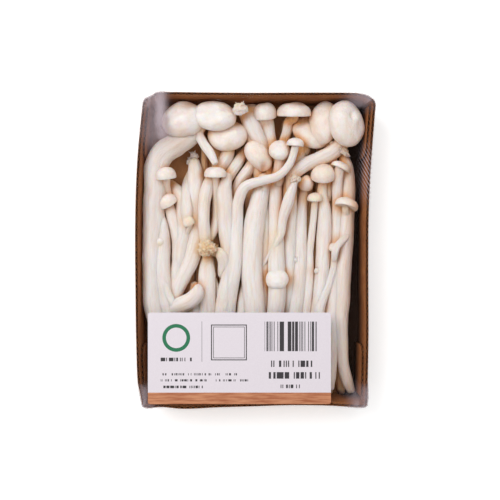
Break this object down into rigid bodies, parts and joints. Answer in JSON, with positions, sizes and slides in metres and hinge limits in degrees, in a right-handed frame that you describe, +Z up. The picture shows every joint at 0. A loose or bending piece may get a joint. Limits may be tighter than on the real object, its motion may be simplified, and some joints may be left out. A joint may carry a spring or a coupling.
{
  "type": "enoki mushroom bunch",
  "caption": "Bunch of long white enoki mushrooms lying side by side in a folded corrugated card tray, under clear film with a paper label.",
  "frame": {"origin": "middle of the card tray's underside, in the plane of the surface it rests on", "axes": "+Z up, +Y along the stems towards the caps, +X to the right with the caps at the top of the view from above"},
  "size_m": [0.1342, 0.1766, 0.0264],
  "materials": {
    "mushroom_white": "moist, smooth, slightly shiny mushroom flesh",
    "mushroom_shaded": "older tan mushroom flesh",
    "corrugated_card": "brown kraft corrugated card",
    "clear_film": "thin clear glossy film",
    "label_paper": "semi-matt white label paper"
  },
  "bodies": {
    "root": {"tray": "corrugated_card", "film": "clear_film", "label": "label_paper", "left_clump": "mushroom_white", "inner_left_clump": "mushroom_white", "inner_right_clump": "mushroom_white", "right_clump": "mushroom_white", "low_stem_1": "mushroom_shaded", "low_stem_2": "mushroom_shaded", "low_stem_3": "mushroom_shaded", "low_stem_4": "mushroom_shaded", "low_stem_5": "mushroom_shaded", "low_stem_6": "mushroom_shaded", "low_stem_7": "mushroom_shaded", "low_stem_8": "mushroom_shaded", "low_stem_9": "mushroom_shaded", "low_stem_10": "mushroom_shaded", "low_stem_11": "mushroom_shaded", "low_stem_12": "mushroom_shaded", "low_stem_13": "mushroom_shaded", "low_stem_14": "mushroom_shaded", "low_stem_15": "mushroom_shaded", "low_stem_16": "mushroom_shaded", "low_stem_17": "mushroom_shaded"}
  },
  "joints": []
}
